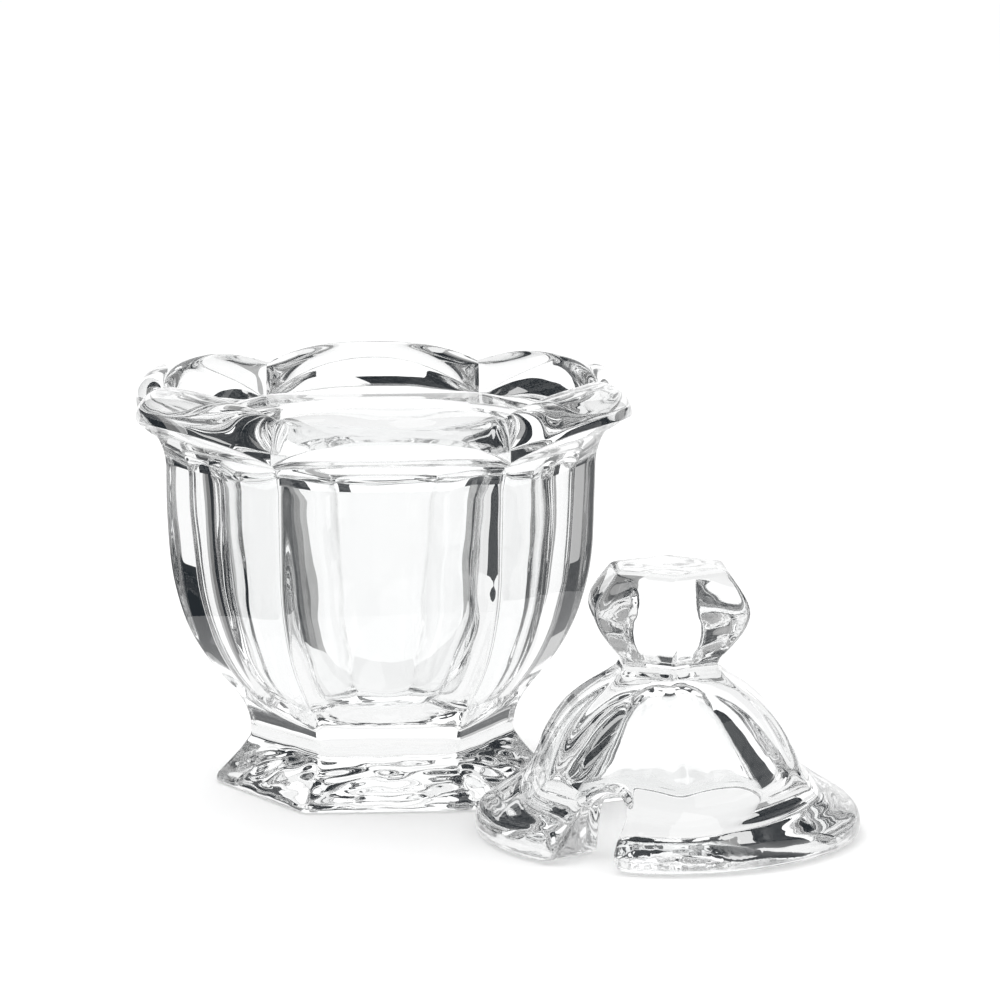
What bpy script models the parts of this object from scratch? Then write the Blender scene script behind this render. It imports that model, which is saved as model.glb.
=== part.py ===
"""Crystal pot with a scalloped rim, and its spoon-notched lid standing beside it.

Millimetres while drawing, metres in the objects. Origin: centre of the pot's foot,
on the table. One flat panel of the pot faces -Y. Z is up.
"""

import math

import bmesh
import bpy
from mathutils import Vector

MM = 0.001
SECTORS = 6
SECTOR = 60.0
HALF = 30.0
HEX_MID = math.cos(math.radians(HALF))

# Azimuths inside one sector, in degrees from an arris, closer together near the arris.
OFFSETS = (-23.5, -17.0, -11.0, -6.0, -2.5, 0.0, 2.5, 6.0, 11.0, 17.0, 23.5, 30.0)

# Pot, outside from the table up: (radius on the arris, height, sharpness of the arris).
POT_OUTSIDE = (
    (32.2, 0.0, 60.0),
    (32.8, 0.5, 60.0),
    (32.6, 1.3, 60.0),
    (31.4, 2.8, 60.0),
    (29.7, 4.7, 60.0),
    (28.0, 6.6, 56.0),
    (26.6, 8.5, 50.0),
    (26.1, 9.2, 46.0),
    (25.9, 10.6, 40.0),
    (26.1, 12.6, 36.0),
    (26.8, 14.8, 36.0),
    (27.8, 16.6, 38.0),
    (29.1, 18.4, 40.0),
    (31.4, 21.2, 50.0),
    (33.9, 24.4, 60.0),
    (36.1, 27.8, 70.0),
    (38.1, 31.8, 80.0),
    (39.6, 36.0, 80.0),
    (40.7, 40.5, 80.0),
    (41.3, 45.0, 80.0),
    (41.7, 51.0, 80.0),
    (41.9, 58.0, 80.0),
    (42.0, 63.2, 80.0),
)

# Pot, round cavity from its mouth down: (radius, height).
POT_CAVITY = (
    (31.2, 71.0),
    (30.5, 70.5),
    (30.1, 69.4),
    (29.9, 60.0),
    (29.6, 52.0),
    (28.9, 44.0),
    (27.6, 37.0),
    (25.6, 30.5),
    (22.8, 25.0),
    (19.0, 20.4),
    (14.0, 17.0),
    (8.0, 15.3),
    (3.0, 15.0),
)

# Scalloped rim: every lobe is an arc of this radius about this distance from the axis.
LOBE_RADIUS = 27.0
LOBE_CENTRE = 24.0
EDGE_LOW = 69.2
EDGE_RISE = 5.6
EDGE_LAND = 0.8
CREST_LOW = 77.6
CREST_RISE = 3.4
CREST_RADIUS = 42.2
CREST_SWELL = 0.4
LEDGE_HEIGHT = 71.0
LEDGE_ARRIS = 42.0
LEDGE_SHARPNESS = 40.0
CREASE_POWER = 2.5
COVE_STEPS = 5
PILLOW_STEPS = 7
INNER_STEPS = 6

# Lid, outside from the table up: (radius on the ridge, height, share of hexagon, sharpness).
LID_OUTSIDE = (
    (35.5, 0.0, 0.0, 16.0),
    (36.1, 0.5, 0.0, 16.0),
    (36.4, 1.8, 0.0, 16.0),
    (36.2, 3.4, 0.0, 16.0),
    (35.4, 4.9, 0.0, 16.0),
    (34.1, 6.1, 0.04, 16.0),
    (32.2, 7.4, 0.16, 16.0),
    (30.2, 8.9, 0.36, 18.0),
    (28.4, 10.7, 0.62, 20.0),
    (27.0, 13.2, 0.84, 24.0),
    (26.0, 16.2, 1.0, 28.0),
    (24.7, 18.8, 1.0, 30.0),
    (23.2, 21.2, 1.0, 30.0),
    (21.4, 23.4, 1.0, 30.0),
    (19.2, 25.4, 1.0, 28.0),
    (16.6, 27.3, 1.0, 26.0),
    (14.0, 28.9, 1.0, 24.0),
    (12.1, 30.1, 1.0, 22.0),
    (10.7, 31.2, 1.0, 22.0),
    (10.1, 32.3, 1.0, 26.0),
    (10.4, 33.5, 1.0, 30.0),
    (11.8, 35.0, 1.0, 34.0),
    (13.6, 37.0, 1.0, 36.0),
    (15.3, 39.2, 1.0, 36.0),
    (16.3, 41.2, 1.0, 34.0),
    (16.6, 42.8, 1.0, 34.0),
    (16.2, 44.4, 1.0, 36.0),
    (14.9, 46.6, 1.0, 40.0),
    (13.2, 48.8, 1.0, 44.0),
    (12.0, 50.2, 1.0, 44.0),
    (11.3, 50.7, 1.0, 44.0),
)

# Lid, round hollow from its crown down to the table: (radius, height).
LID_HOLLOW = (
    (2.6, 24.0),
    (5.8, 23.2),
    (9.1, 21.4),
    (12.1, 18.9),
    (14.7, 15.8),
    (17.1, 12.2),
    (19.0, 8.4),
    (20.4, 4.6),
    (21.2, 1.4),
    (22.0, 0.0),
)

# Lid on the table beside the pot.
LID_X = 51.8
LID_Y = -44.4
LID_RIDGE = 0.0

# Spoon notch: an arched channel from the hollow out through the brim.
NOTCH_AZIMUTH = -32.0
NOTCH_STATIONS = (
    (12.0, 7.2, 12.0),
    (24.0, 7.4, 12.2),
    (29.0, 8.2, 12.6),
    (33.0, 9.4, 13.2),
    (38.0, 11.6, 14.0),
)
NOTCH_BELOW = 2.0
ARCH_STEPS = 12


def clear_scene():
    for item in list(bpy.data.objects):
        bpy.data.objects.remove(item, do_unlink=True)


def new_collection(name):
    group = bpy.data.collections.new(name)
    bpy.context.scene.collection.children.link(group)
    return group


def glass(name):
    material = bpy.data.materials.new(name)
    material.use_nodes = True
    shader = material.node_tree.nodes["Principled BSDF"]
    shader.inputs["Base Color"].default_value = (0.93, 0.95, 0.96, 1.0)
    shader.inputs["Roughness"].default_value = 0.03
    shader.inputs["IOR"].default_value = 1.55
    shader.inputs["Transmission Weight"].default_value = 1.0
    return material


def azimuths(first_arris):
    """All azimuths round the axis, in degrees from -Y, turning towards +X."""
    return [first_arris + SECTOR * k + step for k in range(SECTORS) for step in OFFSETS]


def from_arris(azimuth, first_arris):
    """Signed angle from the nearest arris, -30 to 30 degrees."""
    return (azimuth - first_arris + HALF) % SECTOR - HALF


def hexagon(offset, sharpness):
    """Radius of a hexagon with softened corners, 1 on the arris."""
    total = 0.0
    for k in (-1, 1, 3):
        total += abs(math.cos(math.radians(offset - HALF * k))) ** sharpness
    on_arris = HEX_MID * 2.0 ** (1.0 / sharpness)
    return on_arris / total ** (1.0 / sharpness)


def lobe(offset):
    """Radius of the six-lobed outline; the creases lie on the arrises."""
    turn = math.radians(HALF - abs(offset))
    across = LOBE_CENTRE * math.sin(turn)
    return LOBE_CENTRE * math.cos(turn) + math.sqrt(LOBE_RADIUS ** 2 - across ** 2)


def swell(offset):
    """0 in a crease, 1 in the middle of a lobe."""
    return 1.0 - (1.0 - abs(offset) / HALF) ** CREASE_POWER


def point(azimuth, radius, height):
    turn = math.radians(azimuth)
    return Vector((radius * math.sin(turn), -radius * math.cos(turn), height)) * MM


def hexagon_ring(first_arris, radius, height, share, sharpness):
    ring = []
    for azimuth in azimuths(first_arris):
        shape = hexagon(from_arris(azimuth, first_arris), sharpness)
        scale = share * shape + 1.0 - share
        ring.append(point(azimuth, radius * scale, height))
    return ring


def round_ring(first_arris, radius, height):
    return [point(azimuth, radius, height) for azimuth in azimuths(first_arris)]


def blended_ring(first_arris, place):
    """A ring whose radius and height both depend on the angle from the arris."""
    ring = []
    for azimuth in azimuths(first_arris):
        radius, height = place(from_arris(azimuth, first_arris))
        ring.append(point(azimuth, radius, height))
    return ring


def edge_at(offset):
    return lobe(offset), EDGE_LOW + EDGE_RISE * swell(offset)


def crest_at(offset):
    rise = swell(offset)
    return CREST_RADIUS + CREST_SWELL * rise, CREST_LOW + CREST_RISE * rise


def ledge_at(offset):
    return LEDGE_ARRIS * hexagon(offset, LEDGE_SHARPNESS), LEDGE_HEIGHT


def cove_at(offset, share):
    """Hollow underside of a lobe, from the flat panel out to the edge."""
    radius, height, sharpness = POT_OUTSIDE[-1]
    inner = radius * hexagon(offset, sharpness)
    outer, top = edge_at(offset)
    turn = math.radians(90.0 * share)
    return inner + (outer - inner) * (1.0 - math.cos(turn)), height + (top - height) * math.sin(turn)


def pillow_at(offset, share):
    """Rounded top of a lobe, from the edge's land up to the crest."""
    outer, low = edge_at(offset)
    crest, high = crest_at(offset)
    low += EDGE_LAND
    turn = math.radians(90.0 * share)
    return crest + (outer - crest) * math.cos(turn), low + (high - low) * math.sin(turn)


def inner_at(offset, share):
    """Inner face of a lobe, from the crest down to the seat ledge."""
    crest, high = crest_at(offset)
    ledge, low = ledge_at(offset)
    return crest + (ledge - crest) * share, low + (high - low) * (1.0 - share ** 2)


def rim_rings(first_arris):
    rings = []
    for step in range(1, COVE_STEPS + 1):
        share = step / COVE_STEPS
        rings.append(blended_ring(first_arris, lambda offset, s=share: cove_at(offset, s)))
    for step in range(PILLOW_STEPS + 1):
        share = step / PILLOW_STEPS
        rings.append(blended_ring(first_arris, lambda offset, s=share: pillow_at(offset, s)))
    for step in range(1, INNER_STEPS + 1):
        share = step / INNER_STEPS
        rings.append(blended_ring(first_arris, lambda offset, s=share: inner_at(offset, s)))
    return rings


def loft(name, rings, origin, material, group):
    """One closed solid through the rings, flat at the first and last ring."""
    mesh = bpy.data.meshes.new(name)
    bm = bmesh.new()
    rows = [[bm.verts.new(corner) for corner in ring] for ring in rings]
    count = len(rows[0])
    for low, high in zip(rows, rows[1:]):
        for i in range(count):
            j = (i + 1) % count
            bm.faces.new((low[i], low[j], high[j], high[i]))
    bm.faces.new(list(reversed(rows[0])))
    bm.faces.new(rows[-1])
    bmesh.ops.recalc_face_normals(bm, faces=bm.faces)
    bm.to_mesh(mesh)
    bm.free()
    mesh.materials.append(material)
    item = bpy.data.objects.new(name, mesh)
    item.location = origin
    group.objects.link(item)
    return item


def make_pot(group):
    arris = HALF
    rings = [hexagon_ring(arris, r, z, 1.0, sharp) for r, z, sharp in POT_OUTSIDE]
    rings += rim_rings(arris)
    rings += [round_ring(arris, r, z) for r, z in POT_CAVITY]
    return loft("pot", rings, Vector((0.0, 0.0, 0.0)), glass("pot_glass"), group)


def arch(distance, width, height):
    """An arched section across the notch, at this distance from the lid's axis."""
    along = Vector((math.sin(math.radians(NOTCH_AZIMUTH)), -math.cos(math.radians(NOTCH_AZIMUTH)), 0.0))
    across = Vector((-along.y, along.x, 0.0))
    half = width / 2.0
    spring = height - half
    section = [along * distance + across * half + Vector((0.0, 0.0, -NOTCH_BELOW))]
    for step in range(ARCH_STEPS + 1):
        turn = math.pi * step / ARCH_STEPS
        rise = Vector((0.0, 0.0, spring + half * math.sin(turn)))
        section.append(along * distance + across * (half * math.cos(turn)) + rise)
    section.append(along * distance - across * half + Vector((0.0, 0.0, -NOTCH_BELOW)))
    return [corner * MM for corner in section]


def make_lid(group, cutters):
    place = Vector((LID_X, LID_Y, 0.0)) * MM
    material = glass("lid_glass")
    rings = [round_ring(LID_RIDGE, r, z) for r, z in LID_HOLLOW]
    rings += [hexagon_ring(LID_RIDGE, r, z, share, sharp) for r, z, share, sharp in LID_OUTSIDE]
    lid = loft("lid", rings, place, material, group)
    sections = [arch(*station) for station in NOTCH_STATIONS]
    cutter = loft("notch_cutter", sections, place, material, cutters)
    cutter.hide_render = True
    cutter.display_type = "WIRE"
    cut = lid.modifiers.new("notch", "BOOLEAN")
    cut.operation = "DIFFERENCE"
    cut.solver = "EXACT"
    cut.object = cutter
    return lid


clear_scene()
parts = new_collection("parts")
cutters = new_collection("cutters")
make_pot(parts)
make_lid(parts, cutters)
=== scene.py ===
import math

import bpy
import numpy as np
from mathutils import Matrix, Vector


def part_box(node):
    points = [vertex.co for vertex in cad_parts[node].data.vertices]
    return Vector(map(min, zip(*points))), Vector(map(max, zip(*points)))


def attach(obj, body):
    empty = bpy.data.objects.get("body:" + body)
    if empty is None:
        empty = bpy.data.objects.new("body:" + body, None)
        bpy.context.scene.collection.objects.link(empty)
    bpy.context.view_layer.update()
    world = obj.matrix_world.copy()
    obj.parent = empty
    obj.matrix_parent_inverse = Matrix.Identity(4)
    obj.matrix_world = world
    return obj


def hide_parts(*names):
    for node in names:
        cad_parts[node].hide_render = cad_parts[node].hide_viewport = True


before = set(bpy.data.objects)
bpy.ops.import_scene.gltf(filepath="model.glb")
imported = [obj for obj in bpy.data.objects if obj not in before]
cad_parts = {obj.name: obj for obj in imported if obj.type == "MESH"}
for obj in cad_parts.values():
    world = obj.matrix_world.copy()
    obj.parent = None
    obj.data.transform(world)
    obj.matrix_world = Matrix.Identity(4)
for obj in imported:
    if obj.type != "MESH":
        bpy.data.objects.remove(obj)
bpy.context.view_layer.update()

MM = 0.001

# ---------------------------------------------------------------- pot, in millimetres

SECTORS = 6
HALF = 30.0
HEX_MID = math.cos(math.radians(HALF))
AROUND = 56
ARRIS_CROWDING = 1.7
STATION_STEPS = 5

# Outside from the foot up: (radius on the arris, height, sharpness of the arris).
POT_OUTSIDE = (
    (32.8, 0.9, 60.0),
    (32.6, 1.5, 60.0),
    (31.4, 2.8, 70.0),
    (29.7, 4.7, 80.0),
    (28.0, 6.6, 70.0),
    (26.6, 8.4, 60.0),
    (26.1, 9.2, 50.0),
    (25.9, 10.6, 44.0),
    (26.1, 12.6, 40.0),
    (26.8, 14.8, 44.0),
    (27.8, 16.6, 54.0),
    (29.1, 18.4, 70.0),
    (31.4, 21.2, 80.0),
    (33.9, 24.4, 85.0),
    (36.1, 27.8, 85.0),
    (38.1, 31.8, 85.0),
    (39.6, 36.0, 85.0),
    (40.7, 40.5, 85.0),
    (41.3, 45.0, 85.0),
    (41.7, 51.0, 85.0),
    (41.9, 58.0, 85.0),
    (42.0, 63.2, 85.0),
)
FOOT_ROWS = 30

# Round cavity from its mouth down: (radius, height).
POT_CAVITY = (
    (30.1, 69.4),
    (30.0, 66.0),
    (29.9, 60.0),
    (29.6, 52.0),
    (28.9, 44.0),
    (27.6, 37.0),
    (25.6, 30.5),
    (22.8, 25.0),
    (19.0, 20.4),
    (14.0, 17.0),
    (8.0, 15.3),
    (3.0, 15.0),
    (0.5, 15.0),
)

# Rim: six lobes whose edge and crest sink to creases on the arrises, and the seat inside.
LOBE_RADIUS = 27.0
LOBE_CENTRE = 24.0
EDGE_LOW = 69.2
EDGE_RISE = 5.6
EDGE_LAND = 0.8
EDGE_ROUND = 0.22
CREST_LOW = 77.6
CREST_RISE = 3.4
CREST_RADIUS = 42.2
CREST_SWELL = 0.4
CREASE_POWER = 2.5
COVE_START = 22.0
COVE_SPAN = (0.04, 0.955)
COVE_ROWS = 22
PILLOW_ROWS = 26
SLOPE_ROWS = 22
LEDGE_HEIGHT = 71.0
LEDGE_ARRIS = 42.0
LEDGE_SHARPNESS = 60.0
LEDGE_ROUND = 0.35
SEAT_INSIDE = 31.0
BRINK_RADIUS = 30.2
BRINK_ROUND = 1.0
BRINK_ROWS = 8

# Underside of the foot: a shallow recess inside a ring that stands on the table.
RECESS_RADIUS = 24.0
RECESS_DEPTH = 1.2
RECESS_POWER = 4
RECESS_ROWS = 34
RECESS_CENTRE = 0.02
RING_INSET = 1.0
FOOT_ROUND = 0.5

# Unevenness of the glass: lengths of its waves, then heights of the long and the short ones.
# The long waves on the outside are sunk by their height, which keeps them near the CAD's box.
RIPPLE_WAVES = 12
RIPPLE_SUNK = 1.0
LONG_WAVES = (16.0, 48.0)
SHORT_WAVES = (6.0, 13.0)
UNDER_RIPPLE = (0.0, 0.16)
FOOT_RIPPLE = (0.04, 0.05)
SIDE_RIPPLE = (0.07, 0.0)
RIM_RIPPLE = (0.06, 0.0)
CAVITY_RIPPLE = (0.16, 0.006)
NO_RIPPLE = (0.0, 0.0)
RIPPLE_BLEND_ROWS = 7
LID_RIPPLE = 0.07
HOLLOW_RIPPLE = 0.2
POT_LONG_SEED = 5
POT_SHORT_SEED = 9
LID_SEED = 21
HOLLOW_SEED = 23

# ---------------------------------------------------------------- lid, in its own millimetres

# Outside from the table up: (radius on the arris, height, share of hexagon, sharpness).
LID_OUTSIDE = (
    (35.5, 0.0, 0.0, 16.0),
    (36.1, 0.5, 0.0, 16.0),
    (36.4, 1.8, 0.0, 16.0),
    (36.2, 3.4, 0.0, 16.0),
    (35.4, 4.9, 0.0, 16.0),
    (34.1, 6.1, 0.04, 16.0),
    (32.2, 7.4, 0.16, 16.0),
    (30.2, 8.9, 0.36, 18.0),
    (28.4, 10.7, 0.62, 20.0),
    (27.0, 13.2, 0.84, 24.0),
    (26.0, 16.2, 1.0, 28.0),
    (24.7, 18.8, 1.0, 30.0),
    (23.2, 21.2, 1.0, 30.0),
    (21.4, 23.4, 1.0, 30.0),
    (19.2, 25.4, 1.0, 28.0),
    (16.6, 27.3, 1.0, 26.0),
    (14.0, 28.9, 1.0, 24.0),
    (12.1, 30.1, 1.0, 22.0),
    (10.7, 31.2, 1.0, 22.0),
    (10.1, 32.3, 1.0, 26.0),
    (10.4, 33.5, 1.0, 30.0),
    (11.8, 35.0, 1.0, 34.0),
    (13.6, 37.0, 1.0, 36.0),
    (15.3, 39.2, 1.0, 36.0),
    (16.3, 41.2, 1.0, 34.0),
    (16.6, 42.8, 1.0, 34.0),
    (16.2, 44.4, 1.0, 36.0),
    (14.9, 46.6, 1.0, 40.0),
    (13.2, 48.8, 1.0, 44.0),
    (12.0, 50.2, 1.0, 44.0),
    (11.3, 50.7, 1.0, 44.0),
)
LID_STATION_STEPS = 16
STEEPEST = 3.0
BRIM_ROUND = 0.7
KNOB_TOP_ROUND = 0.9
HOLLOW_RADIUS = 22.2
HOLLOW_HEIGHT = 24.1
HOLLOW_POWERS = (1.8, 1.75)
HOLLOW_LIP_ROUND = 1.2

# Notch: (distance from the lid's axis, width, height), and how round its edges are.
NOTCH_AZIMUTH = -32.0
NOTCH_START = 9.0
NOTCH_STATIONS = (
    (12.0, 7.0, 11.2),
    (22.5, 7.0, 11.4),
    (25.0, 8.4, 12.4),
    (28.0, 9.8, 13.4),
    (38.0, 10.4, 14.0),
)
NOTCH_ROUND_FROM = (26.0, 33.0)
NOTCH_ROUND = (1.0, 4.4)

LID_CELL = 0.46
LID_GRID_LOW = (-37.8, -37.8, -1.2)
LID_GRID_HIGH = (37.8, 37.8, 52.2)
SETTLE_TURNS = 7
EVENING_TURNS = 4
SLOPE_STEP = 0.02
LONGEST_MOVE = 0.3
EVENING = 0.5

# ---------------------------------------------------------------- glass, in metres

GLASS_COLOUR = (0.985, 0.99, 0.99)
GLASS_IOR = 1.545
HAZE_SCALE = 60.0
HAZE_RANGE = (0.45, 0.75)
HAZE_ROUGHNESS = 0.02
DIMPLE_SCALE = 110.0
DIMPLE_DEPTH = 0.00008

# ---------------------------------------------------------------- studio, in metres

FLOOR_LEVEL = -0.0003
PAPER_CENTRE = (0.02, -0.02)
PAPER_WHITE = 0.9
POINT = 0.0001
FRONT_EDGE = 0.08
SIDE_EDGE = 0.125
FLOOR_RADIUS = 3.0
FLOOR_STEPS = 96

# Brightness of plain white, of light on its way through the glass to the paper (more than
# white, to make up for what the glass turns aside), and of the dim room that the glass shows.
WHITE_LEVEL = 1.12
THROUGH_LEVEL = 1.7
ROOM_LEVEL = 0.03
ROOM_COLOUR = (0.7, 0.85, 1.0)

# Name, inner and outer radius, first and last azimuth, brightness.
FLOOR_CARDS = (
    ("card_floor_near", POINT, FRONT_EDGE, 0.0, 360.0, 0.97),
    ("card_floor_beside", FRONT_EDGE, SIDE_EDGE, -95.0, 118.0, 0.97),
    ("card_floor_back", SIDE_EDGE, FLOOR_RADIUS, -34.0, 44.0, 1.12),
    ("card_floor_left", SIDE_EDGE, FLOOR_RADIUS, -43.0, -34.0, 0.5),
    ("card_floor_far_left", SIDE_EDGE, FLOOR_RADIUS, -52.0, -43.0, 0.22),
    ("card_floor_right", SIDE_EDGE, FLOOR_RADIUS, 44.0, 58.0, 0.4),
    ("card_floor_far_right", SIDE_EDGE, FLOOR_RADIUS, 84.0, 118.0, 0.85),
    ("card_floor_front", FRONT_EDGE, FLOOR_RADIUS, 118.0, 265.0, 0.4),
)

# Name, azimuth and elevation of the middle, width and height in degrees, brightness.
DOME_RADIUS = 2.5
DOME_STEPS = (8, 12)
DOME_CARDS = (
    ("card_back", 9.0, 28.0, 54.0, 90.0, 1.25),
    ("card_overhead", 90.0, 77.0, 150.0, 22.0, 1.1),
    ("card_right", 112.0, 36.0, 40.0, 34.0, 0.8),
    ("card_left", -52.0, 40.0, 18.0, 34.0, 0.6),
    ("card_front", 180.0, 12.0, 130.0, 30.0, 0.25),
)

CAMERA_LENS = 172.4
CAMERA_PLACE = (-0.04199, -0.9205, 0.2210)
CAMERA_WAY = (0.06952, 0.98181, -0.17665)
SOFTBOX_PLACE = (-0.25, 0.2, 1.1)
SOFTBOX_TARGET = (0.0, 0.0, 0.03)
SOFTBOX_SIZE = (0.9, 0.6)
SOFTBOX_WATTS = 3.0


# ---------------------------------------------------------------- outlines

def spline(stations, steps):
    """Points along a smooth curve through the stations."""
    stations = np.array(stations, float)
    gaps = np.linalg.norm(np.diff(stations[:, :2], axis=0), axis=1)
    at = np.concatenate([[0.0], np.cumsum(gaps)])
    slopes = np.gradient(stations, at, axis=0)
    rows = []
    for i in range(len(gaps)):
        t = np.arange(steps)[:, None] / steps
        rows.append(
            (2 * t ** 3 - 3 * t ** 2 + 1) * stations[i]
            + (t ** 3 - 2 * t ** 2 + t) * gaps[i] * slopes[i]
            + (3 * t ** 2 - 2 * t ** 3) * stations[i + 1]
            + (t ** 3 - t ** 2) * gaps[i] * slopes[i + 1]
        )
    rows.append(stations[-1:])
    return np.concatenate(rows)


def hexagon(offset, sharpness):
    """Radius of a hexagon with softened corners, 1 on the arris. Offset is degrees from an arris."""
    arrises = (-1, 1, 3)
    total = sum(np.abs(np.cos(np.radians(offset - HALF * k))) ** sharpness for k in arrises)
    return HEX_MID * 2.0 ** (1.0 / sharpness) / total ** (1.0 / sharpness)


def lobe(offset):
    """Radius of the rim's outline: six round lobes."""
    turn = np.radians(HALF - np.abs(offset))
    reach = np.sqrt(LOBE_RADIUS ** 2 - (LOBE_CENTRE * np.sin(turn)) ** 2)
    return LOBE_CENTRE * np.cos(turn) + reach


def swell(offset):
    """0 in a crease, 1 in the middle of a lobe."""
    return 1.0 - (1.0 - np.abs(offset) / HALF) ** CREASE_POWER


def toward(corner, end, size):
    """Points at a distance of size from the corner, on the way to the end."""
    way = end - corner
    return corner + way * (size / np.maximum(np.linalg.norm(way, axis=1, keepdims=True), 1e-6))


def fillet(before, corner, after, size, steps=5):
    """Points round a corner of a profile, kept within size of it."""
    first = toward(corner, before, size)
    last = toward(corner, after, size)
    points = []
    for t in np.linspace(0.0, 1.0, steps):
        points.append((1 - t) ** 2 * first + 2 * t * (1 - t) * corner + t ** 2 * last)
    return points


def stack(radius, height):
    """A row: the radius and the height at each azimuth."""
    return np.stack([radius, height + 0.0 * radius], axis=1)


def ripple(points, seed, shortest, longest):
    """A smooth wavy number, mostly between -2 and 2, at points in millimetres."""
    draw = np.random.default_rng(seed)
    total = 0.0
    for _ in range(RIPPLE_WAVES):
        way = draw.normal(size=3)
        way = way / np.linalg.norm(way) * 2 * math.pi / draw.uniform(shortest, longest)
        total = total + np.sin(points @ way + draw.uniform(0.0, 2 * math.pi))
    return total * (2.0 / RIPPLE_WAVES) ** 0.5


def closed_mesh(name, points, quads, caps, material):
    mesh = bpy.data.meshes.new(name)
    mesh.from_pydata(points.tolist(), [], [tuple(q) for q in quads.tolist()] + caps)
    mesh.update()
    mesh.shade_smooth()
    mesh.materials.append(material)
    item = bpy.data.objects.new(name, mesh)
    bpy.context.scene.collection.objects.link(item)
    return item


# ---------------------------------------------------------------- pot

def arch_row(first, last, share):
    """A row on an arch from first to last: out in radius as a cosine, up in height as a sine."""
    turn = math.pi / 2 * share
    radius = last[:, 0] + (first[:, 0] - last[:, 0]) * math.cos(turn)
    height = first[:, 1] + (last[:, 1] - first[:, 1]) * math.sin(turn)
    return np.stack([radius, height], axis=1)


def cove_row(panel_top, edge, share):
    """A row on the hollow cove from the top of the panels out to the rim's edge."""
    start = math.radians(COVE_START)
    turn = start + (math.pi / 2 - start) * share
    out = (math.cos(start) - math.cos(turn)) / math.cos(start)
    up = (math.sin(turn) - math.sin(start)) / (1 - math.sin(start))
    radius = panel_top[:, 0] + (edge[:, 0] - panel_top[:, 0]) * out
    height = panel_top[:, 1] + (edge[:, 1] - panel_top[:, 1]) * up
    return np.stack([radius, height], axis=1)


def slope_row(crest, ledge, share):
    """A row on the slope from the rim's crest down to the seat."""
    radius = crest[:, 0] + (ledge[:, 0] - crest[:, 0]) * share
    height = ledge[:, 1] + (crest[:, 1] - ledge[:, 1]) * (1 - share ** 2)
    return np.stack([radius, height], axis=1)


def underside_rows(foot):
    """The recess under the foot, and the flat ring round it with the foot's rounded edge."""
    round_row = np.ones_like(foot[:, 0])
    recess = []
    for share in np.linspace(RECESS_CENTRE, 1.0, RECESS_ROWS):
        height = RECESS_DEPTH * (1 - share ** RECESS_POWER)
        recess.append(stack(RECESS_RADIUS * share * round_row, height))
    under = stack(foot[:, 0] - RING_INSET, 0.0)
    corner = stack(foot[:, 0], 0.0)
    return recess, [under] + fillet(under, corner, foot, FOOT_ROUND)


def side_rows(offset):
    return [stack(radius * hexagon(offset, sharp), height)
            for radius, height, sharp in spline(POT_OUTSIDE, STATION_STEPS)]


def rim_rows(offset, panel_top):
    """Cove, edge and pillow of the rim, and the slope down to the seat."""
    edge = stack(lobe(offset), EDGE_LOW + EDGE_RISE * swell(offset))
    land = edge + np.array([0.0, EDGE_LAND])
    crest = stack(CREST_RADIUS + CREST_SWELL * swell(offset), CREST_LOW + CREST_RISE * swell(offset))
    ledge = stack(LEDGE_ARRIS * hexagon(offset, LEDGE_SHARPNESS), LEDGE_HEIGHT)
    rows = [cove_row(panel_top, edge, share) for share in np.linspace(*COVE_SPAN, COVE_ROWS)]
    rows += fillet(rows[-1], edge, land, EDGE_ROUND)
    rows += [arch_row(land, crest, share) for share in np.linspace(0.0, 1.0, PILLOW_ROWS)]
    rows += [slope_row(crest, ledge, share) for share in np.linspace(0.0, 1.0, SLOPE_ROWS)[1:-1]]
    return rows, ledge


def seat_rows(offset, slope_end, ledge):
    """The flat seat for the lid, and the rounded turn down into the cavity."""
    round_row = np.ones_like(offset)
    mouth = stack(SEAT_INSIDE * round_row, LEDGE_HEIGHT)
    middle = 0.5 * (ledge + mouth)
    wall = stack(POT_CAVITY[0][0] * round_row, POT_CAVITY[0][1])
    brink = stack(BRINK_RADIUS * round_row, LEDGE_HEIGHT)
    corner = fillet(slope_end, ledge, mouth, LEDGE_ROUND)
    return corner + [middle] + fillet(middle, brink, wall, BRINK_ROUND, BRINK_ROWS)


def cavity_rows(offset):
    round_row = np.ones_like(offset)
    return [stack(radius * round_row, height) for radius, height in spline(POT_CAVITY, STATION_STEPS)]


def blend(amount):
    """Evens out a column over neighbouring rows."""
    spread = np.ones(RIPPLE_BLEND_ROWS) / RIPPLE_BLEND_ROWS
    return np.convolve(np.pad(amount, RIPPLE_BLEND_ROWS // 2, "edge"), spread, "valid")


def pot_profile(offset):
    """Rows of radius and height, and how much each row is rippled in long and short waves."""
    side = side_rows(offset)
    recess, ring = underside_rows(side[0])
    rim, ledge = rim_rows(offset, side[-1])
    seat = seat_rows(offset, rim[-1], ledge)
    parts = (
        (recess, UNDER_RIPPLE),
        (ring, NO_RIPPLE),
        (side[:FOOT_ROWS], FOOT_RIPPLE),
        (side[FOOT_ROWS:], SIDE_RIPPLE),
        (rim, RIM_RIPPLE),
        (seat, NO_RIPPLE),
        (cavity_rows(offset), CAVITY_RIPPLE),
    )
    rows = np.array([row for part, _ in parts for row in part])
    amount = np.array([heights for part, heights in parts for _ in part])
    return rows, np.stack([blend(amount[:, k]) for k in (0, 1)], axis=1)


def on_pot(rows, turn):
    """Points in space, in millimetres, for rows of radius and height at the azimuths turn."""
    x = rows[:, :, 0] * np.sin(turn)
    y = -rows[:, :, 0] * np.cos(turn)
    return np.stack([x, y, rows[:, :, 1]], axis=2)


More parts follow.
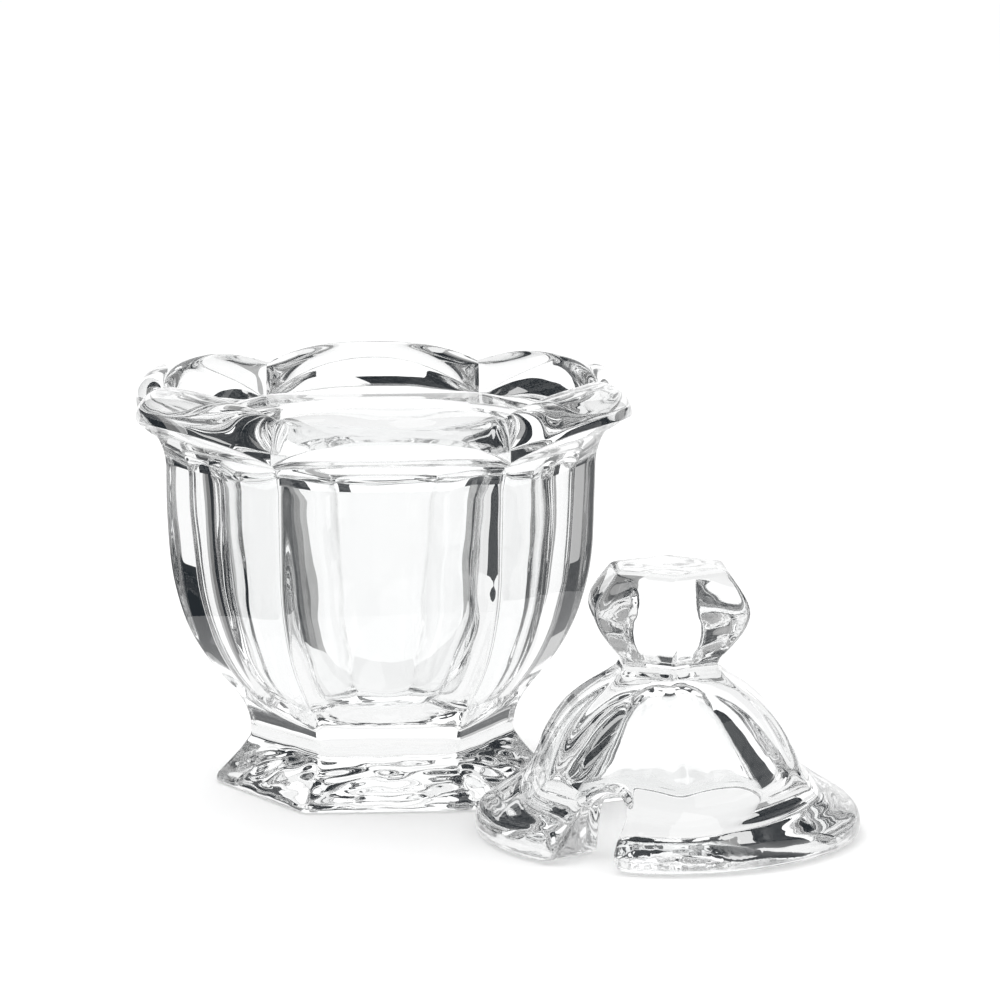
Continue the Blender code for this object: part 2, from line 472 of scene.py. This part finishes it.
def rippled(rows, amount, turn):
    """The rows moved in and out along the profile's normals, and kept above the table."""
    points = on_pot(rows, turn)
    slope = np.gradient(rows, axis=0)
    slope = slope / np.maximum(np.linalg.norm(slope, axis=2, keepdims=True), 1e-9)
    normal = np.stack([slope[:, :, 1], -slope[:, :, 0]], axis=2)
    long = ripple(points, POT_LONG_SEED, *LONG_WAVES) - RIPPLE_SUNK
    short = ripple(points, POT_SHORT_SEED, *SHORT_WAVES)
    wave = amount[:, :1] * long + amount[:, 1:] * short
    rows = rows + wave[:, :, None] * normal
    rows[:, :, 1] = np.maximum(rows[:, :, 1], 0.0)
    return rows


def make_pot(material):
    t = np.linspace(-1.0, 1.0, AROUND, endpoint=False)
    offset = HALF * np.sign(t) * np.abs(t) ** ARRIS_CROWDING
    turn = np.concatenate([offset + HALF + 2 * HALF * k for k in range(SECTORS)])
    turn = np.radians(turn)
    rows, amount = pot_profile(np.tile(offset, SECTORS))
    points = on_pot(rippled(rows, amount, turn), turn).reshape(-1, 3) * MM
    count = len(turn)
    i = np.arange(count)
    j = (i + 1) % count
    quads = np.concatenate([
        np.stack([k * count + i, k * count + j, (k + 1) * count + j, (k + 1) * count + i], axis=1)
        for k in range(len(rows) - 1)
    ])
    last = (len(rows) - 1) * count
    caps = [tuple(int(v) for v in i[::-1]), tuple(int(v) for v in last + i)]
    return closed_mesh("pot_crystal", points, quads, caps, material)


# ---------------------------------------------------------------- lid

LID_TABLE = spline(LID_OUTSIDE, LID_STATION_STEPS)
LID_SLOPE = np.sqrt(1.0 + np.gradient(LID_TABLE[:, 0], LID_TABLE[:, 1]) ** 2)


def smooth_max(a, b, width):
    """The larger of two fields, rounded off where they differ by less than width."""
    near = np.maximum(width - np.abs(a - b), 0.0) / width
    return np.maximum(a, b) + near * near * width * 0.25


def outer_field(p, r):
    """Below 0 within the lid's outline at each height; the end outlines run on up and down."""
    azimuth = np.degrees(np.arctan2(p[..., 0], -p[..., 1]))
    offset = (azimuth + HALF) % (2 * HALF) - HALF
    level = np.clip(p[..., 2], 0.0, LID_TABLE[-1, 1])
    heights = LID_TABLE[:, 1]
    radius = np.interp(level, heights, LID_TABLE[:, 0])
    share = np.interp(level, heights, LID_TABLE[:, 2])
    sharp = np.interp(level, heights, LID_TABLE[:, 3])
    slope = np.minimum(np.interp(level, heights, LID_SLOPE), STEEPEST)
    outer = (r - radius * (share * hexagon(offset, sharp) + 1.0 - share)) / slope
    return outer + LID_RIPPLE * (RIPPLE_SUNK - ripple(p, LID_SEED, *LONG_WAVES))


def hollow_field(p, r):
    """Below 0 inside the round hollow under the dome."""
    inside = (r / HOLLOW_RADIUS) ** HOLLOW_POWERS[0]
    inside = inside + (np.maximum(p[..., 2], 0.0) / HOLLOW_HEIGHT) ** HOLLOW_POWERS[1]
    hollow = (inside ** (1.0 / HOLLOW_POWERS[0]) - 1.0) * HOLLOW_RADIUS
    return hollow + HOLLOW_RIPPLE * ripple(p, HOLLOW_SEED, *LONG_WAVES)


def notch_field(p):
    """A field below 0 inside the arched notch, and the distance along it from the lid's axis."""
    x, y, z = p[..., 0], p[..., 1], p[..., 2]
    turn = math.radians(NOTCH_AZIMUTH)
    along = x * math.sin(turn) - y * math.cos(turn)
    across = x * math.cos(turn) + y * math.sin(turn)
    stations = np.array(NOTCH_STATIONS)
    half = np.interp(along, stations[:, 0], stations[:, 1] / 2.0)
    spring = np.interp(along, stations[:, 0], stations[:, 2]) - half
    arch = np.sqrt(across ** 2 + np.maximum(z - spring, 0.0) ** 2) - half
    return np.maximum(arch, NOTCH_START - along), along


def lid_field(p):
    """Below 0 inside the lid's glass. p is an array of points in the lid's own millimetres."""
    r = np.sqrt(p[..., 0] * p[..., 0] + p[..., 1] * p[..., 1]) + 1e-9
    body = smooth_max(outer_field(p, r), -p[..., 2], BRIM_ROUND)
    body = smooth_max(body, p[..., 2] - LID_TABLE[-1, 1], KNOB_TOP_ROUND)
    body = smooth_max(body, -hollow_field(p, r), HOLLOW_LIP_ROUND)
    notch, along = notch_field(p)
    return smooth_max(body, -notch, np.interp(along, NOTCH_ROUND_FROM, NOTCH_ROUND))


def surface_net(field, low, high, cell):
    """Vertices and quads of the surface where field is 0, one vertex in each cell it crosses."""
    axes = [np.arange(low[a], high[a] + cell, cell) for a in range(3)]
    values = np.stack(np.meshgrid(*axes, indexing="ij"), axis=-1)
    values = np.concatenate([field(slab)[None] for slab in values])
    shape = np.array(values.shape)
    total = np.zeros((values.size, 3))
    count = np.zeros(values.size)
    quads = []
    for axis in range(3):
        a = np.take(values, range(shape[axis] - 1), axis=axis)
        b = np.take(values, range(1, shape[axis]), axis=axis)
        index = np.argwhere((a < 0) != (b < 0))
        low_value = a[tuple(index.T)]
        share = low_value / (low_value - b[tuple(index.T)])
        place = index.astype(float)
        place[:, axis] += share
        u, v = (axis + 1) % 3, (axis + 2) % 3
        around = []
        for du, dv in ((0, 0), (-1, 0), (-1, -1), (0, -1)):
            owner = index.copy()
            owner[:, u] += du
            owner[:, v] += dv
            flat = np.ravel_multi_index(tuple(owner.T), tuple(shape))
            for k in range(3):
                total[:, k] += np.bincount(flat, place[:, k], minlength=len(count))
            count += np.bincount(flat, minlength=len(count))
            around.append(flat)
        ring = np.stack(around, axis=1)
        ring[low_value >= 0] = ring[low_value >= 0][:, ::-1]
        quads.append(ring)
    used = np.flatnonzero(count)
    lookup = np.full(len(count), -1)
    lookup[used] = np.arange(len(used))
    points = total[used] / count[used][:, None] * cell + np.array(low)
    return points, lookup[np.concatenate(quads)]


def field_slope(field, points):
    """How fast the field rises along each axis."""
    slope = np.zeros_like(points)
    for axis in range(3):
        shift = np.zeros(3)
        shift[axis] = SLOPE_STEP
        slope[:, axis] = (field(points + shift) - field(points - shift)) / (2 * SLOPE_STEP)
    return slope


def settle(points, quads, field):
    """Evens the vertices out along the surface and puts them exactly on it."""
    pairs = np.concatenate([quads[:, [k, (k + 1) % 4]] for k in range(4)])
    pairs = np.concatenate([pairs, pairs[:, ::-1]])
    size = len(points)
    degree = np.bincount(pairs[:, 0], minlength=size)
    for turn in range(SETTLE_TURNS):
        slope = field_slope(field, points)
        square = np.maximum((slope ** 2).sum(axis=1, keepdims=True), 1e-4)
        move = field(points)[:, None] * slope / square
        length = np.linalg.norm(move, axis=1, keepdims=True)
        points = points - move * np.minimum(1.0, LONGEST_MOVE / np.maximum(length, 1e-9))
        if turn < EVENING_TURNS:
            sums = [np.bincount(pairs[:, 0], points[pairs[:, 1], k], minlength=size) for k in range(3)]
            drift = np.stack(sums, axis=1) / degree[:, None] - points
            normal = slope / np.sqrt(square)
            points = points + EVENING * (drift - (drift * normal).sum(axis=1, keepdims=True) * normal)
    return points


def make_lid(material):
    points, quads = surface_net(lid_field, LID_GRID_LOW, LID_GRID_HIGH, LID_CELL)
    points = settle(points, quads, lid_field)
    low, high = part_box("lid")
    centre = np.array([(low[0] + high[0]) / 2, (low[1] + high[1]) / 2, low[2]])
    return closed_mesh("lid_crystal", points * MM + centre, quads, [], material)


# ---------------------------------------------------------------- materials

def noise(tree, vector, scale, detail):
    node = tree.nodes.new("ShaderNodeTexNoise")
    node.inputs["Scale"].default_value = scale
    node.inputs["Detail"].default_value = detail
    tree.links.new(vector, node.inputs["Vector"])
    return node.outputs["Fac"]


def crystal(name, seed):
    """Colourless crystal: polished, very slightly dimpled, with faint patches of haze."""
    material = bpy.data.materials.new(name)
    material.use_nodes = True
    tree = material.node_tree
    shader = tree.nodes["Principled BSDF"]
    shader.inputs["Base Color"].default_value = (*GLASS_COLOUR, 1.0)
    shader.inputs["IOR"].default_value = GLASS_IOR
    shader.inputs["Transmission Weight"].default_value = 1.0
    place = tree.nodes.new("ShaderNodeTexCoord")
    shift = tree.nodes.new("ShaderNodeMapping")
    shift.inputs["Location"].default_value = (seed, seed * 0.7, 0.0)
    tree.links.new(place.outputs["Object"], shift.inputs["Vector"])
    haze = tree.nodes.new("ShaderNodeMapRange")
    haze.inputs["From Min"].default_value = HAZE_RANGE[0]
    haze.inputs["From Max"].default_value = HAZE_RANGE[1]
    haze.inputs["To Max"].default_value = HAZE_ROUGHNESS
    tree.links.new(noise(tree, shift.outputs["Vector"], HAZE_SCALE, 4.0), haze.inputs["Value"])
    tree.links.new(haze.outputs["Result"], shader.inputs["Roughness"])
    bump = tree.nodes.new("ShaderNodeBump")
    bump.inputs["Distance"].default_value = DIMPLE_DEPTH
    bump.inputs["Strength"].default_value = 1.0
    tree.links.new(noise(tree, shift.outputs["Vector"], DIMPLE_SCALE, 1.0), bump.inputs["Height"])
    tree.links.new(bump.outputs["Normal"], shader.inputs["Normal"])
    return material


def paper():
    material = bpy.data.materials.new("floor_paper")
    material.use_nodes = True
    shader = material.node_tree.nodes["Principled BSDF"]
    shader.inputs["Base Color"].default_value = (PAPER_WHITE, PAPER_WHITE, PAPER_WHITE, 1.0)
    shader.inputs["Roughness"].default_value = 0.9
    shader.inputs["Specular IOR Level"].default_value = 0.0
    return material


def glow(name, level):
    """A card's light: its own level where the glass shows it, THROUGH_LEVEL on the way to the paper."""
    material = bpy.data.materials.new(name)
    material.use_nodes = True
    tree = material.node_tree
    shader = tree.nodes["Principled BSDF"]
    shader.inputs["Base Color"].default_value = (0.0, 0.0, 0.0, 1.0)
    shader.inputs["Specular IOR Level"].default_value = 0.0
    shader.inputs["Emission Color"].default_value = (1.0, 1.0, 1.0, 1.0)
    path = tree.nodes.new("ShaderNodeLightPath")
    strength = tree.nodes.new("ShaderNodeMapRange")
    strength.inputs["To Min"].default_value = level
    strength.inputs["To Max"].default_value = THROUGH_LEVEL
    tree.links.new(path.outputs["Diffuse Depth"], strength.inputs["Value"])
    tree.links.new(strength.outputs["Result"], shader.inputs["Emission Strength"])
    return material


# ---------------------------------------------------------------- stage

def stage_piece(name, points, faces, material):
    mesh = bpy.data.meshes.new(name)
    mesh.from_pydata(np.asarray(points).tolist(), [], faces)
    mesh.materials.append(material)
    item = bpy.data.objects.new(name, mesh)
    bpy.context.scene.collection.objects.link(item)
    return item


def only_in_glass(item):
    """Leaves a stage piece to be seen through the glass and in its reflections only."""
    item.visible_camera = False
    item.visible_shadow = False
    item.visible_diffuse = False


def never_in_glass(item):
    """Leaves an item out of what the glass shows."""
    item.visible_glossy = False
    item.visible_transmission = False


def ring_sector(name, inner, outer, start, end, material):
    """A flat piece of floor between two radii and two azimuths; 0 is straight behind the object."""
    turn = np.radians(np.linspace(start, end, FLOOR_STEPS + 1))
    x, y = PAPER_CENTRE
    points = np.concatenate([
        np.stack([x + r * np.sin(turn), y + r * np.cos(turn), FLOOR_LEVEL + 0.0 * turn], axis=1)
        for r in (inner, outer)
    ])
    across = FLOOR_STEPS + 1
    faces = [(i + 1, i, across + i, across + i + 1) for i in range(FLOOR_STEPS)]
    return stage_piece(name, points, faces, material)


def make_floor():
    """White paper. In its place the glass sees lit floor cards with a dark room between them."""
    never_in_glass(ring_sector("floor_paper", POINT, FLOOR_RADIUS, 0.0, 360.0, paper()))
    for name, inner, outer, start, end, level in FLOOR_CARDS:
        only_in_glass(ring_sector(name, inner, outer, start, end, glow(name, level)))


def make_card(name, azimuth, elevation, wide, high, level):
    """A glowing card on a dome, placed in degrees as seen from the object; azimuth 0 is behind it."""
    rows, columns = DOME_STEPS
    points = []
    for i in range(rows + 1):
        up = math.radians(elevation + high * (i / rows - 0.5))
        for j in range(columns + 1):
            turn = math.radians(azimuth + wide * (j / columns - 0.5))
            points.append((math.cos(up) * math.sin(turn), math.cos(up) * math.cos(turn), math.sin(up)))
    faces = []
    for i in range(rows):
        for j in range(columns):
            first = i * (columns + 1) + j
            faces.append((first, first + 1, first + columns + 2, first + columns + 1))
    only_in_glass(stage_piece(name, DOME_RADIUS * np.array(points), faces, glow(name, level)))


def make_world():
    """White behind the picture and over the paper, and a dim room for what the glass shows."""
    world = bpy.data.worlds.new("studio")
    bpy.context.scene.world = world
    world.use_nodes = True
    tree = world.node_tree
    white = tree.nodes["Background"]
    white.inputs["Color"].default_value = (1.0, 1.0, 1.0, 1.0)
    room = tree.nodes.new("ShaderNodeBackground")
    room.inputs["Color"].default_value = (*ROOM_COLOUR, 1.0)
    room.inputs["Strength"].default_value = ROOM_LEVEL
    path = tree.nodes.new("ShaderNodeLightPath")
    glass = tree.nodes.new("ShaderNodeMath")
    glass.operation = "MAXIMUM"
    tree.links.new(path.outputs["Is Glossy Ray"], glass.inputs[0])
    tree.links.new(path.outputs["Is Transmission Ray"], glass.inputs[1])
    bright = tree.nodes.new("ShaderNodeMapRange")
    bright.inputs["To Min"].default_value = WHITE_LEVEL
    bright.inputs["To Max"].default_value = THROUGH_LEVEL
    tree.links.new(glass.outputs["Value"], bright.inputs["Value"])
    tree.links.new(bright.outputs["Result"], white.inputs["Strength"])
    seen = tree.nodes.new("ShaderNodeMath")
    seen.operation = "SUBTRACT"
    seen.use_clamp = True
    tree.links.new(glass.outputs["Value"], seen.inputs[0])
    tree.links.new(path.outputs["Diffuse Depth"], seen.inputs[1])
    mix = tree.nodes.new("ShaderNodeMixShader")
    tree.links.new(seen.outputs["Value"], mix.inputs["Fac"])
    tree.links.new(white.outputs["Background"], mix.inputs[1])
    tree.links.new(room.outputs["Background"], mix.inputs[2])
    tree.links.new(mix.outputs["Shader"], tree.nodes["World Output"].inputs["Surface"])


def make_camera():
    camera = bpy.data.cameras.new("camera")
    camera.lens = CAMERA_LENS
    camera.sensor_width = 36.0
    camera.clip_end = 20.0
    item = bpy.data.objects.new("camera", camera)
    bpy.context.scene.collection.objects.link(item)
    item.location = CAMERA_PLACE
    item.rotation_euler = Vector(CAMERA_WAY).normalized().to_track_quat("-Z", "Y").to_euler()
    bpy.context.scene.camera = item


def make_softbox():
    lamp = bpy.data.lights.new("softbox", "AREA")
    lamp.shape = "RECTANGLE"
    lamp.size, lamp.size_y = SOFTBOX_SIZE
    lamp.energy = SOFTBOX_WATTS
    item = bpy.data.objects.new("softbox", lamp)
    bpy.context.scene.collection.objects.link(item)
    item.location = SOFTBOX_PLACE
    way = Vector(SOFTBOX_TARGET) - item.location
    item.rotation_euler = way.to_track_quat("-Z", "Y").to_euler()
    never_in_glass(item)


make_camera()
make_world()
make_softbox()
make_floor()
for card in DOME_CARDS:
    make_card(*card)

pot = make_pot(crystal("pot_crystal", 0.0))
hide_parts("pot")
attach(pot, "pot")

lid = make_lid(crystal("lid_crystal", 3.1))
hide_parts("lid")
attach(lid, "lid")

scene = bpy.context.scene
scene.view_settings.view_transform = "Standard"
scene.cycles.max_bounces = 32
scene.cycles.transmission_bounces = 32
scene.cycles.glossy_bounces = 16
